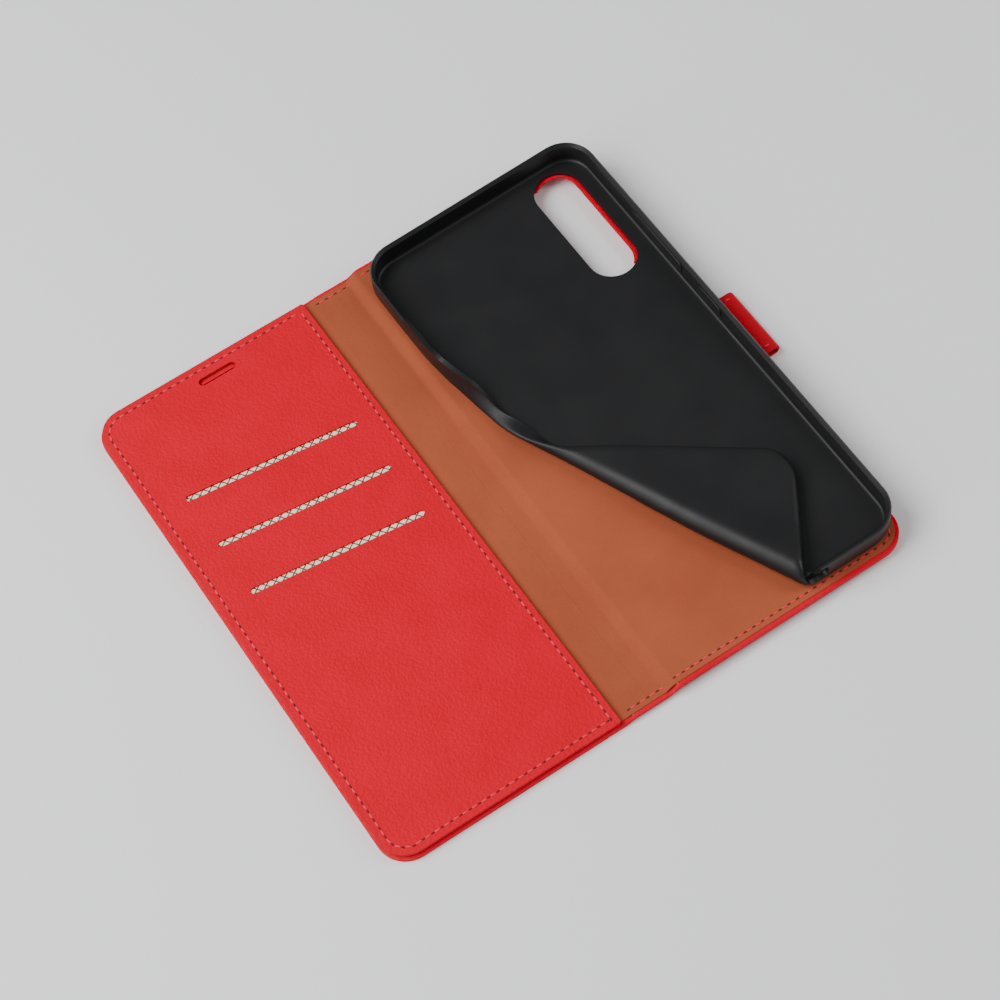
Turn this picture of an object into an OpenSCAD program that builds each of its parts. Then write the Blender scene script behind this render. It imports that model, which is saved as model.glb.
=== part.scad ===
// Folio wallet case for a large phone, lying open.
// X runs across the open cover (flap at -X, back at +X), Y towards the phone's top, Z up.
// The origin is the centre of the bounding box, on the surface that the case lies on.

/* [Cover] */
// Length of the cover, along the phone
cover_l = 172; // [168:0.5:180]
// Width of the front flap, from its free edge to its fold line
flap_w = 76.8; // [75:0.1:79]
// Width of the soft spine between the two fold lines
spine_w = 15; // [15:0.1:17]
// Width of the back, from its fold line to its free edge
back_w = 81.2; // [81.2:0.1:84]
// Radius of the cover's corners
cover_r = 9; // [6:0.5:12]
// Thickness of the outer leather
leather_t = 0.8; // [0.6:0.05:0.9]
// Thickness of the stiffener boards
board_t = 1; // [0.9:0.05:1]
// Thickness of the suede lining
lining_t = 0.3; // [0.2:0.05:0.3]
// Height of the back above the surface, lifted by the strap folded beneath it
back_lift = 2; // [2:0.05:2.1]

/* [Card panel] */
// Distance of the card panel's open edge from the flap's fold line
panel_back = 2.65; // [2:0.05:5]
// Length of each card slot, for a card 54 mm wide
slot_l = 55.2; // [55:0.1:58]
// Width of each card slot
slot_w = 1.9; // [1.5:0.1:3]
// Distance between neighbouring card slots
slot_pitch = 18.7; // [15:0.1:20]
// Slant of the card slots, in degrees
slot_slant = -7.4; // [-10:0.1:0]
// Height of the lowest card slot's middle above the cover's middle
slot_low = 5.7; // [0:0.1:10]

/* [Phone tray] */
// Width of the tray outside
tray_w = 80; // [79:0.1:80]
// Length of the tray outside
tray_l = 166.8; // [165:0.1:167]
// Height of the tray
tray_h = 8.8; // [8.6:0.1:8.8]
// Thickness of the tray's walls
tray_wall = 1.7; // [1.4:0.1:2]
// Thickness of the tray's floor
tray_floor = 1.1; // [1:0.1:1.1]
// Radius of the tray's corners
tray_r = 10.5; // [8:0.5:12]
// Where the soft corner's fold meets the left wall, measured up from the tray's end
fold_up = 99; // [95:0.5:102]
// Where the soft corner's fold meets the end wall, measured from the tray's left side
fold_across = 44; // [42:0.5:45]
// Length of the camera cut-out
camera_l = 45; // [40:0.1:48]
// Width of the camera cut-out
camera_w = 16; // [13:0.1:17]

/* [Strap] */
// Width of the magnetic strap
strap_w = 24; // [20:0.5:28]
// How far the folded strap stands out past the cover's edge
strap_reach = 8.4; // [8:0.1:10]
// Distance from the strap's first fold to its second
strap_rise = 18; // [17.8:0.1:19]
// Length of the strap's tongue past its second fold
tongue_l = 27; // [25:0.5:30]

/* [Hidden] */
$fn = 64;

// Colours
RED = [0.89, 0.13, 0.20];
DARK_RED = [0.66, 0.05, 0.11];
TAN = [0.65, 0.37, 0.25];
BLACK = [0.12, 0.12, 0.12];
BOARD = [0.72, 0.70, 0.66];
CLOTH = [0.86, 0.84, 0.74];
STEEL = [0.72, 0.73, 0.75];

over = 1;                   // how far a cutter runs past the face it cuts
turn_w = 1;                 // width of the leather that wraps a board's edge
lining_in = 1.2;            // margin of the lining inside the cover's edge
panel_in = 0.6;             // margin of the card panel inside the cover's edge

// Places across the cover
left_x = -(flap_w + spine_w + back_w + strap_reach) / 2;
fold_f = left_x + flap_w;               // fold line between flap and spine
fold_b = fold_f + spine_w;              // fold line between spine and back
right_x = fold_b + back_w;
flap_end = fold_f - 1.2;                // the flap's layers stop here
spine_x0 = fold_f + 1.2;
spine_x1 = fold_b - 1;
back_x0 = fold_b + 1.1;                 // the back's layers start here

// Levels of the flap's layers, lying on the surface
flap_board_z = leather_t;
flap_lining_z = flap_board_z + board_t;
pocket_z = flap_lining_z + lining_t;
pocket_gap = 0.5;                       // room for the pocket cloths, and the panel's hem
cloth_t = 0.15;
backing_t = 0.05;
panel_z = pocket_z + pocket_gap;
panel_t = 0.8;
panel_top = panel_z + panel_t;

// Levels of the spine's layers
spine_z = 1;
strip_t = 0.3;
spine_lining_z = spine_z + leather_t + strip_t;
spine_top = spine_lining_z + lining_t;

// Levels of the back's layers
back_board_z = back_lift + leather_t;
back_lining_z = back_board_z + board_t;
back_top = back_lining_z + lining_t;

// Card slots and the ear slot
slot_x = left_x + 38.3;
ear_x = left_x + 40.3;
ear_y = cover_l / 2 - 7;
ear_l = 12.5;
ear_w = 2.6;
pocket_w = 60;
pocket_l = 76;
pocket_top = 4;                         // the pouch is glued on this far above its slot

// Tray: outline, levels and cut-outs
tray_x0 = right_x - tray_w;
tray_mid = [tray_x0 + tray_w / 2, 0.5];
tray_y0 = tray_mid[1] - tray_l / 2;
tray_z = back_top + 0.2;
rim_z = tray_z + tray_h;
lip_h = 0.9;                            // height of the lip along the rim
lip_in = 0.5;                           // how far the lip leans in over the bay
camera_at = [right_x - 14.1, 57.4];
port_at = tray_x0 + 42.5;
port_w = 21;
port_h = 5;
port_z = tray_z + 2.3;
mic_x = tray_x0 + 48.8;

// Buttons in the tray's right wall
button_z = rim_z - 4.1;
button_h = 4;
button_gap = 0.2;
button_proud = 0.5;
volume_y = 37;
volume_l = 26;
power_y = 10;
power_l = 12;

// The soft corner folds over about a line that crosses the tray
fold_turn = atan2(fold_across, fold_up);
fold_at = [tray_x0, tray_y0 + fold_up, rim_z - tray_h / 2 + 0.7];
bend_out = fold_at[2] - tray_z;         // outer radius of the bend
bend_in = bend_out - tray_floor;
bend_half = (bend_out + bend_in) * PI / 4;   // half the length of tray taken up by the bend

// Strap: it leaves the back's edge, bends round a fold and runs back under the cover
strap_t = 1;
strap_ply = strap_t / 2;
strap_fold_z = (back_board_z + strap_t) / 2;
strap_fold_x = right_x + strap_reach - strap_fold_z;
strap_fold_in = strap_fold_z - strap_t;
strap_start = 2.3;                      // the band starts this far from the fold
strap_gap = 1.2;                        // clearance at the second fold
tongue_x = strap_fold_x - strap_rise;
magnet_t = 0.8;
magnet_r = 4;
magnet_y = 6;
magnet_out = 17;                        // magnets' distance along the tongue
tab_in = 8;                             // the tab is sewn this far into the back
catch_x = fold_f - (strap_fold_x - (strap_fold_z - 0.9) - magnet_out - fold_b);

// Stitches
stitch_in = 2.9;
stitch_pitch = 3;
stitch_l = 2.2;
stitch_w = 0.5;
stitch_t = 0.2;

// ---- shared shapes ----

// Rectangle from corner p to corner q with round corners of radius r on chosen sides
module rounded(p, q, r, left = true, right = true) {
  union() {
    translate([p[0], p[1] + r]) square([q[0] - p[0], q[1] - p[1] - 2 * r]);
    x0 = left ? p[0] + r : p[0];
    x1 = right ? q[0] - r : q[0];
    translate([x0, p[1]]) square([x1 - x0, q[1] - p[1]]);
    for (y = [p[1] + r, q[1] - r]) {
      if (left) translate([p[0] + r, y]) circle(r);
      if (right) translate([q[0] - r, y]) circle(r);
    }
  }
}

// Outline of the flap, pulled in by m along its free edges, ending at x
module flap_outline(m = 0, x = flap_end) {
  rounded([left_x + m, -cover_l / 2 + m], [x, cover_l / 2 - m], cover_r - m, right = false);
}

// Outline of the back, pulled in by m along its free edges, starting at x
module back_outline(m = 0, x = back_x0) {
  rounded([x, -cover_l / 2 + m], [right_x - m, cover_l / 2 - m], cover_r - m, left = false);
}

// Slot with round ends, l long and w wide over all, along X
module slot(l, w) {
  union() {
    square([l - w, w], center = true);
    for (s = [-1, 1]) translate([s * (l - w) / 2, 0]) circle(w / 2);
  }
}

module ear_slot() translate([ear_x, ear_y]) slot(ear_l, ear_w);

module camera_hole(grow = 0) {
  translate(camera_at) rotate(90) slot(camera_l + 2 * grow, camera_w + 2 * grow);
}

// A flat layer from height z, t thick, of the outline given as its child
module layer(z, t) translate([0, 0, z]) linear_extrude(t) children();

// One stitch along X, lying on height z
module stitch(z) translate([-stitch_l / 2, -stitch_w / 2, z]) cube([stitch_l, stitch_w, stitch_t]);

// A row of stitches from p to q on height z, evenly spaced with half a pitch free at each end
module stitch_row(p, q, z) {
  run = norm(q - p);
  n = max(1, round(run / stitch_pitch));
  for (i = [0 : n - 1])
    translate([p[0], p[1], 0] + [q[0] - p[0], q[1] - p[1], 0] * (i + 0.5) / n)
      rotate(atan2(q[1] - p[1], q[0] - p[0])) stitch(z);
}

// Stitches round a quarter corner with centre c, from angle a, on height z
module stitch_corner(c, a, z) {
  r = cover_r - stitch_in;
  n = round(r * PI / 2 / stitch_pitch);
  for (i = [0 : n - 1])
    translate([c[0], c[1], 0]) rotate(a + 90 * (i + 0.5) / n) translate([r, 0, 0]) rotate(90) stitch(z);
}

// ---- back ----

module cover_back() color(RED) difference() {
  union() {
    layer(back_lift, leather_t) back_outline();
    layer(back_board_z, board_t) difference() {
      back_outline();
      back_outline(turn_w, back_x0 - over);
    }
  }
  layer(back_lift - over, board_t + 4) camera_hole();
  translate([right_x - 2 * turn_w, -strap_w / 2, back_board_z]) cube([3 * turn_w, strap_w, board_t + over]);
}

module board_back() color(BOARD) layer(back_board_z, board_t) difference() {
  back_outline(turn_w);
  camera_hole();
  translate([right_x - tab_in, -strap_w / 2]) square([tab_in, strap_w]);
}

module lining_back() color(TAN) layer(back_lining_z, lining_t) difference() {
  back_outline(lining_in);
  camera_hole();
}

module stitch_back() color(DARK_RED) {
  y = cover_l / 2 - stitch_in;
  x = right_x - stitch_in;
  r = cover_r - stitch_in;
  for (s = [-1, 1]) {
    stitch_row([back_x0 + 0.5, s * y], [x - r, s * y], back_top);
    stitch_corner([x - r, s * (y - r)], s > 0 ? 0 : -90, back_top);
  }
  stitch_row([x, -y + r], [x, y - r], back_top);
}

// ---- phone tray ----

// The whole tray as moulded, before its corner is folded over
module tray_whole() difference() {
  layer(tray_z, tray_h) rounded([tray_x0, tray_y0], [right_x, tray_y0 + tray_l], tray_r);
  layer(tray_z + tray_floor, tray_h - tray_floor - lip_h) tray_bay(tray_wall);
  layer(rim_z - lip_h - over / 4, lip_h + over) tray_bay(tray_wall + lip_in);
  layer(tray_z - over, tray_floor + 2 * over) camera_hole(-0.2);
  translate([port_at - port_w / 2, tray_y0 - over, port_z]) cube([port_w, tray_wall + 2 * over, port_h]);
  translate([mic_x, tray_y0 + tray_l + over, button_z]) rotate([90, 0, 0]) cylinder(r = 0.8, h = tray_wall + 2 * over);
  button_hole(volume_y, volume_l);
  button_hole(power_y, power_l);
}

module tray_bay(m) rounded([tray_x0 + m, tray_y0 + m], [right_x - m, tray_y0 + tray_l - m], tray_r - m);

module button_hole(y, l) {
  translate([right_x - tray_wall - over, y - l / 2 - button_gap, button_z - button_h / 2 - button_gap])
    cube([tray_wall + 2 * over, l + 2 * button_gap, button_h + 2 * button_gap]);
}

// Places its child in the fold's own frame: X across the fold into the tray, Y along it, Z up
module at_fold() translate(fold_at) rotate(fold_turn) children();

// Everything further than d from the fold, on the tray's main side
module main_side(d) at_fold() translate([d, -2 * tray_l, -tray_l]) cube([3 * tray_l, 3 * tray_l, 2 * tray_l]);

// Everything further than d from the fold, on the corner's side
module corner_side(d) at_fold() translate([-d - tray_l, -2 * tray_l, -tray_l]) cube([tray_l, 3 * tray_l, 2 * tray_l]);

module phone_tray() color(BLACK) intersection() {
  tray_whole();
  main_side(bend_half);
}

// The corner lies upside down over the bay, turned half round about the fold
module tray_corner() color(BLACK)
  translate(fold_at) rotate(a = 180, v = [sin(fold_turn), -cos(fold_turn), 0]) translate(-fold_at)
    intersection() {
      tray_whole();
      corner_side(bend_half);
    }

// The rolled strip of floor between the tray and its folded corner
module tray_bend() color(BLACK) intersection() {
  at_fold() translate([bend_half, 0, 0]) difference() {
    rotate([90, 0, 0]) cylinder(r = bend_out, h = tray_l);
    translate([0, over, 0]) rotate([90, 0, 0]) cylinder(r = bend_in, h = tray_l + 2 * over);
    translate([0, -2 * tray_l, -tray_h]) cube([2 * tray_h, 3 * tray_l, 2 * tray_h]);
  }
  layer(0, 3 * tray_h) tray_bay(tray_wall + 0.5);
}

module tray_glue() color(CLOTH) layer(back_top, tray_z - back_top) difference() {
  translate([right_x - 42, 0]) square([38, 76]);
  camera_hole(1);
}

// A button cover that fills its hole and stands a little proud outside
module button(y, l) color(BLACK)
  translate([right_x - tray_wall, y - l / 2, button_z - button_h / 2]) cube([tray_wall + button_proud, l, button_h]);

module volume_button() button(volume_y, volume_l);

module power_button() button(power_y, power_l);

// ---- spine and folds ----

// A strip that crosses a fold, from (x0, z0) to (x1, z1) at its underside, t thick and l long
module fold_strip(x0, z0, x1, z1, t, l) {
  translate([0, l / 2, 0]) rotate([90, 0, 0]) linear_extrude(l)
    polygon([[x0, z0], [x1, z1], [x1, z1 + t], [x0, z0 + t]]);
}

module cover_fold_back() color(RED)
  fold_strip(spine_x1, spine_z, back_x0, back_lift, leather_t, cover_l);

module lining_fold_back() color(TAN)
  fold_strip(spine_x1, spine_lining_z, back_x0, back_lining_z, lining_t, cover_l - 2 * lining_in);

module cover_fold_front() color(RED)
  fold_strip(flap_end, 0, spine_x0, spine_z, leather_t, cover_l);

module lining_fold_front() color(TAN)
  fold_strip(flap_end, flap_lining_z, spine_x0, spine_lining_z, lining_t, cover_l - 2 * lining_in);

module spine_layer(z, t, m) translate([spine_x0, -cover_l / 2 + m, z]) cube([spine_x1 - spine_x0, cover_l - 2 * m, t]);

module cover_spine() color(RED) union() {
  spine_layer(spine_z, leather_t, 0);
  for (s = [-1, 1]) translate([spine_x0, s * (cover_l - turn_w) / 2 - turn_w / 2, spine_z + leather_t])
    cube([spine_x1 - spine_x0, turn_w, strip_t]);
}

module spine_strip() color(BOARD) spine_layer(spine_z + leather_t, strip_t, turn_w);

module lining_spine() color(TAN) spine_layer(spine_lining_z, lining_t, lining_in);

module stitch_spine() color(DARK_RED)
  for (s = [-1, 1]) {
    y = s * (cover_l / 2 - stitch_in);
    stitch_row([spine_x0, y], [spine_x1, y], spine_top);
  }

// ---- front flap ----

module cover_front() color(RED) difference() {
  union() {
    layer(0, leather_t) flap_outline();
    layer(flap_board_z, board_t) difference() {
      flap_outline();
      flap_outline(turn_w, flap_end + over);
    }
  }
  layer(-over, leather_t + 2 * over) ear_slot();
}

module board_front() color(BOARD) difference() {
  layer(flap_board_z, board_t) difference() {
    flap_outline(turn_w);
    ear_slot();
  }
  for (s = [-1, 1]) translate([catch_x, s * magnet_y, 0]) cylinder(r = magnet_r, h = 4 * board_t);
}

module lining_front() color(TAN) layer(flap_lining_z, lining_t) difference() {
  flap_outline(lining_in);
  ear_slot();
}

module catch_magnets() color(STEEL)
  for (s = [-1, 1]) translate([catch_x, s * magnet_y, flap_board_z]) cylinder(r = magnet_r, h = board_t);

// Cloth that closes the card pockets towards the bill pocket
module pocket_backing() color(CLOTH) layer(pocket_z, backing_t)
  translate([slot_x - pocket_w / 2 - 1, -cover_l / 2 + 8]) square([pocket_w + 2, cover_l - 30]);

// Cloth pouch behind the card slot number n, counted from the lowest, in its own layer
module card_pocket(n) color(CLOTH) {
  w = pocket_w / 2;
  rise = -w * tan(slot_slant);
  layer(pocket_z + backing_t + (2 - n) * cloth_t, cloth_t)
    translate([slot_x, slot_low + n * slot_pitch])
      polygon([[-w, pocket_top + rise], [-w, pocket_top - pocket_l], [w, pocket_top - pocket_l],
        [w, pocket_top - rise]]);
}

module card_pocket_top() card_pocket(2);

module card_pocket_middle() card_pocket(1);

module card_pocket_low() card_pocket(0);

// The panel, with its leather turned under along three edges down to the lining
module card_panel() {
  panel_x = fold_f - panel_back;
  hem = 4.5;
  color(RED) difference() {
    union() {
      layer(panel_z, panel_t) flap_outline(panel_in, panel_x);
      layer(pocket_z, pocket_gap) difference() {
        flap_outline(panel_in, panel_x);
        flap_outline(hem, panel_x + over);
      }
    }
    layer(pocket_z - over, pocket_gap + panel_t + 2 * over) ear_slot();
    for (n = [0 : 2])
      translate([slot_x, slot_low + n * slot_pitch, 0]) rotate(slot_slant)
        layer(pocket_z, pocket_gap + panel_t + over) slot(slot_l, slot_w);
  }
}

module stitch_front() color(DARK_RED) {
  y = cover_l / 2 - stitch_in;
  x = left_x + stitch_in;
  r = cover_r - stitch_in;
  for (s = [-1, 1]) {
    stitch_row([x + r, s * y], [fold_f - panel_back - 3, s * y], panel_top);
    stitch_corner([x + r, s * (y - r)], s > 0 ? 90 : 180, panel_top);
  }
  stitch_row([x, -y + r], [x, y - r], panel_top);
}

module stitch_hem() color(DARK_RED) {
  x = fold_f - panel_back - 2;
  stitch_row([x, -cover_l / 2 + stitch_in], [x, cover_l / 2 - stitch_in], panel_top);
}

// ---- strap ----

// One ply of the strap from x0 to x1 on height z
module strap_ply(x0, x1, z) translate([x0, -strap_w / 2, z]) cube([x1 - x0, strap_w, strap_ply]);

module strap_tab_outer() color(DARK_RED)
  strap_ply(right_x - tab_in, strap_fold_x, back_board_z + strap_ply);

module strap_tab_inner() color(DARK_RED)
  strap_ply(right_x - tab_in, strap_fold_x, back_board_z);

// The soft bend between the tab and the band
module strap_bend() color(DARK_RED) union() {
  translate([strap_fold_x, strap_w / 2, strap_fold_z]) rotate([90, 0, 0]) difference() {
    cylinder(r = strap_fold_z, h = strap_w);
    translate([0, 0, -over]) cylinder(r = strap_fold_in, h = strap_w + 2 * over);
    translate([-3 * strap_t, -3 * strap_t, -over]) cube([3 * strap_t, 6 * strap_t, strap_w + 2 * over]);
  }
  translate([strap_fold_x - strap_start, -strap_w / 2, 0]) cube([strap_start, strap_w, strap_t]);
}

module strap_band_outer() color(DARK_RED)
  strap_ply(tongue_x + strap_gap, strap_fold_x - strap_start, 0);

module strap_band_inner() color(DARK_RED)
  strap_ply(tongue_x + strap_gap, strap_fold_x - strap_start, strap_ply);

// Outline of the tongue, with a round-cornered end
module tongue_outline() {
  x1 = tongue_x - strap_gap;
  rounded([tongue_x - tongue_l, -strap_w / 2], [x1, strap_w / 2], 7, right = false);
}

module strap_tongue_outer() color(DARK_RED) layer(0, strap_ply) tongue_outline();

module strap_tongue_inner() color(DARK_RED) union() {
  layer(strap_ply + magnet_t, strap_ply) tongue_outline();
  layer(strap_ply, magnet_t) difference() {
    tongue_outline();
    for (s = [-1, 1]) translate([tongue_x - magnet_out, s * magnet_y]) circle(magnet_r);
  }
}

module strap_magnets() color(STEEL)
  for (s = [-1, 1]) translate([tongue_x - magnet_out, s * magnet_y, strap_ply]) cylinder(r = magnet_r, h = magnet_t);

module stitch_strap() color(DARK_RED)
  for (s = [-1, 1]) {
    y = s * (strap_w / 2 - 2);
    stitch_row([tongue_x + strap_gap, y], [strap_fold_x - strap_start, y], strap_t);
  }

cover_back();
board_back();
lining_back();
stitch_back();
tray_glue();
phone_tray();
tray_bend();
tray_corner();
volume_button();
power_button();
cover_fold_back();
lining_fold_back();
cover_spine();
spine_strip();
lining_spine();
stitch_spine();
cover_fold_front();
lining_fold_front();
cover_front();
board_front();
lining_front();
pocket_backing();
card_pocket_top();
card_pocket_middle();
card_pocket_low();
card_panel();
catch_magnets();
stitch_front();
stitch_hem();
strap_tab_outer();
strap_tab_inner();
strap_bend();
strap_band_outer();
strap_band_inner();
strap_tongue_outer();
strap_tongue_inner();
strap_magnets();
stitch_strap();
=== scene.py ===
import bpy, bmesh, math
from mathutils import Matrix, Vector


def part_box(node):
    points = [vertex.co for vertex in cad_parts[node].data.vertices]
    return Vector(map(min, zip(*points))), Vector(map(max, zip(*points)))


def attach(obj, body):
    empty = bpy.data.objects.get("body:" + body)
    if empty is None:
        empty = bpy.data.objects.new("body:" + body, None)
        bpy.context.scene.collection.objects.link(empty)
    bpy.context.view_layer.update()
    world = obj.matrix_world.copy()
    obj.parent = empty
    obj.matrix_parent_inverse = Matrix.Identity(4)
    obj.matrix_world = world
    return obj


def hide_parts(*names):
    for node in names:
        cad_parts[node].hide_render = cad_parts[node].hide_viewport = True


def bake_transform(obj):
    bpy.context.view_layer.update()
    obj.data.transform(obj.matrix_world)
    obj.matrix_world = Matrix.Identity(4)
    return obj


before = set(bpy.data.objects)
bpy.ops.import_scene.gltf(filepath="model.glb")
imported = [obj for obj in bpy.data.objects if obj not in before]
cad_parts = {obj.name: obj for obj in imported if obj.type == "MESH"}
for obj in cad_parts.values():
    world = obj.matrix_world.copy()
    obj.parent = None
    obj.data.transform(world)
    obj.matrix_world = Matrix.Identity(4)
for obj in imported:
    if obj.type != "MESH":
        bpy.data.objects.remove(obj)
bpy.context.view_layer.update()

# ---- Camera, table and lights ----
# A long lens looks down on the open case from its lower left. The case lies on a plain pale
# table, under a large soft box overhead, with a second soft box low on the left.

camera = bpy.data.objects.new("camera", bpy.data.cameras.new("camera"))
camera.data.lens = 94.588
camera.location = (-0.16524, -0.35094, 0.65878)
camera.rotation_euler = [math.radians(a) for a in (29.6947, 4.7490, -33.2113)]
bpy.context.collection.objects.link(camera)
bpy.context.scene.camera = camera


def soft_box(name, place, aim, size, watts):
    lamp = bpy.data.objects.new(name, bpy.data.lights.new(name, "AREA"))
    lamp.data.shape = "RECTANGLE"
    lamp.data.size, lamp.data.size_y = size
    lamp.data.energy = watts
    lamp.location = place
    lamp.rotation_euler = (Vector(aim) - Vector(place)).to_track_quat("-Z", "Y").to_euler()
    bpy.context.collection.objects.link(lamp)


soft_box("box_over", (-0.6, 0.3, 0.9), (0, 0, 0), (0.7, 0.7), 13)
soft_box("box_left", (-0.85, -0.1, 0.5), (0, 0, 0), (0.3, 0.9), 4)
soft_box("box_right", (0.8, -0.35, 0.7), (0, 0, 0), (0.4, 0.8), 5)

studio = bpy.data.worlds.new("studio")
studio.use_nodes = True
studio.node_tree.nodes["Background"].inputs["Color"].default_value = (0.93, 0.95, 1, 1)
studio.node_tree.nodes["Background"].inputs["Strength"].default_value = 0.3
bpy.context.scene.world = studio


def new_material(name, colour, roughness):
    """A material with a Principled shader, and a function that adds a node to it."""
    material = bpy.data.materials.new(name)
    material.use_nodes = True
    tree = material.node_tree
    shader = tree.nodes["Principled BSDF"]
    shader.inputs["Base Color"].default_value = (*colour, 1)
    shader.inputs["Roughness"].default_value = roughness
    return material, tree, shader


def add_node(tree, kind, values=(), **settings):
    """A node with its settings and values; a value that is a socket is linked instead."""
    node = tree.nodes.new(kind)
    for key, value in settings.items():
        setattr(node, key, value)
    for key, value in dict(values).items():
        if isinstance(value, bpy.types.NodeSocket):
            tree.links.new(value, node.inputs[key])
        else:
            node.inputs[key].default_value = value
    return node


def show_faces(bm, name, material):
    """Makes the bmesh, drawn in millimetres, a smooth-shaded object in metres."""
    bmesh.ops.scale(bm, vec=(0.001,) * 3, verts=bm.verts)
    bm.normal_update()
    mesh = bpy.data.meshes.new(name)
    bm.to_mesh(mesh)
    bm.free()
    mesh.shade_smooth()
    mesh.materials.append(material)
    made = bpy.data.objects.new(name, mesh)
    bpy.context.collection.objects.link(made)
    return made


table_top, tree, shader = new_material("table_paint", (0.86, 0.86, 0.86), 0.6)
speckle = add_node(tree, "ShaderNodeTexNoise", {"Scale": 60.0, "Detail": 4.0})
bump = add_node(tree, "ShaderNodeBump", {"Strength": 0.05, "Height": speckle.outputs["Fac"]})
tree.links.new(bump.outputs["Normal"], shader.inputs["Normal"])
bm = bmesh.new()
bmesh.ops.create_grid(bm, x_segments=2, y_segments=2, size=3000)
show_faces(bm, "table", table_top)

# ---- Outer cover ----
# One skin of red grained artificial leather wraps the flap's board, the soft spine and the
# back's board. Its edges are turned over the boards and glued. It bends at two folds, so it
# is made as two pieces that meet along the middle of the spine.

MM = 1000                       # millimetres in a metre; meshes are drawn in millimetres
flap_low, flap_high = (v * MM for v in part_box("cover_front"))
back_low, back_high = (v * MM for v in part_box("cover_back"))
spine_low, spine_high = (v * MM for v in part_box("cover_spine"))
tray_low, tray_high = (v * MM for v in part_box("phone_tray"))
spine_middle = (spine_low.x + spine_high.x) / 2
cover_radius = 9
skin = 0.5                      # thickness of the leather where it is turned over
turned_in = 1.6                 # width of the turned edge that shows and runs under the lining


def leather_grain():
    """Node group: fine pebbles with creases between them, as a height and a mask."""
    group = bpy.data.node_groups.new("leather_grain", "ShaderNodeTree")
    for name, kind, way in (
        ("Pebble size mm", "NodeSocketFloat", "INPUT"),
        ("Height", "NodeSocketFloat", "OUTPUT"),
        ("Mottle", "NodeSocketFloat", "OUTPUT"),
    ):
        group.interface.new_socket(name, in_out=way, socket_type=kind)
    enter = add_node(group, "NodeGroupInput")
    leave = add_node(group, "NodeGroupOutput")
    place = add_node(group, "ShaderNodeTexCoord").outputs["Object"]
    scale = add_node(group, "ShaderNodeMath", {0: 1000.0, 1: enter.outputs[0]}, operation="DIVIDE")
    stir = add_node(group, "ShaderNodeTexNoise", {"Vector": place, "Scale": 350.0, "Detail": 2.0})
    mix = add_node(group, "ShaderNodeVectorMath",
                   {0: stir.outputs["Color"], 1: (0.0011, 0.0011, 0.0011)}, operation="MULTIPLY")
    moved = add_node(group, "ShaderNodeVectorMath", {0: place, 1: mix.outputs[0]})
    pebbles = add_node(group, "ShaderNodeTexVoronoi",
                       {"Vector": moved.outputs[0], "Scale": scale.outputs[0], "Randomness": 1.0},
                       feature="SMOOTH_F1")
    dome = add_node(group, "ShaderNodeMapRange",
                    {"Value": pebbles.outputs["Distance"], "From Min": 0.1, "From Max": 0.75,
                     "To Min": 1.0, "To Max": 0.0}, interpolation_type="SMOOTHSTEP")
    fine = add_node(group, "ShaderNodeTexNoise", {"Vector": place, "Scale": 2600.0, "Detail": 3.0})
    soft = add_node(group, "ShaderNodeTexNoise", {"Vector": place, "Scale": 90.0, "Detail": 3.0})
    rough = add_node(group, "ShaderNodeMath", {0: fine.outputs["Fac"], 1: 0.35, 2: dome.outputs[0]},
                     operation="MULTIPLY_ADD")
    swell = add_node(group, "ShaderNodeMath", {0: soft.outputs["Fac"], 1: 0.8, 2: rough.outputs[0]},
                     operation="MULTIPLY_ADD")
    group.links.new(swell.outputs[0], leave.inputs["Height"])
    group.links.new(soft.outputs["Fac"], leave.inputs["Mottle"])
    return group


grain = leather_grain()


def leather(name, light, dark, roughness, pebble, depth):
    """Coated leather: two near shades in soft mottles, with the grain as bump."""
    material, tree, shader = new_material(name, light, roughness)
    surface = add_node(tree, "ShaderNodeGroup", {"Pebble size mm": pebble}, node_tree=grain)
    shade = add_node(tree, "ShaderNodeMapRange",
                     {"Value": surface.outputs["Mottle"], "From Min": 0.3, "From Max": 0.7})
    colour = add_node(tree, "ShaderNodeMix", {"Factor": shade.outputs[0], 6: (*light, 1),
                                              7: (*dark, 1)}, data_type="RGBA")
    gloss = add_node(tree, "ShaderNodeMapRange",
                     {"Value": surface.outputs["Height"], "From Min": 0.2, "From Max": 1.4,
                      "To Min": roughness + 0.12, "To Max": roughness - 0.05})
    bump = add_node(tree, "ShaderNodeBump", {"Strength": depth, "Distance": 0.0002,
                                             "Height": surface.outputs["Height"]})
    tree.links.new(colour.outputs[2], shader.inputs["Base Color"])
    tree.links.new(gloss.outputs[0], shader.inputs["Roughness"])
    tree.links.new(bump.outputs["Normal"], shader.inputs["Normal"])
    shader.inputs["Specular IOR Level"].default_value = 0.08
    return material


red_leather = leather("red_leather", (0.63, 0.0, 0.018), (0.59, 0.0, 0.015), 0.5, 0.8, 0.5)


def smooth(t):
    t = min(1, max(0, t))
    return t * t * (3 - 2 * t)


def ramp(x, x0, x1, low, high):
    return low + (high - low) * smooth((x - x0) / (x1 - x0))


def add_face(bm, x0, y0, x1, y1, rounds=(0, 0, 0, 0), steps=10):
    """A flat face from (x0, y0) to (x1, y1). rounds are the radii of its corners, from the
    lower left one anticlockwise, each made by bevelling the corner's vertex."""
    points = [bm.verts.new((x, y, 0)) for x, y in ((x0, y0), (x1, y0), (x1, y1), (x0, y1))]
    bm.faces.new(points)
    for point, radius in zip(points, rounds):
        if radius:
            bmesh.ops.bevel(bm, geom=[point], offset=radius, segments=steps, profile=0.5,
                            affect="VERTICES", material=-1)


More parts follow.
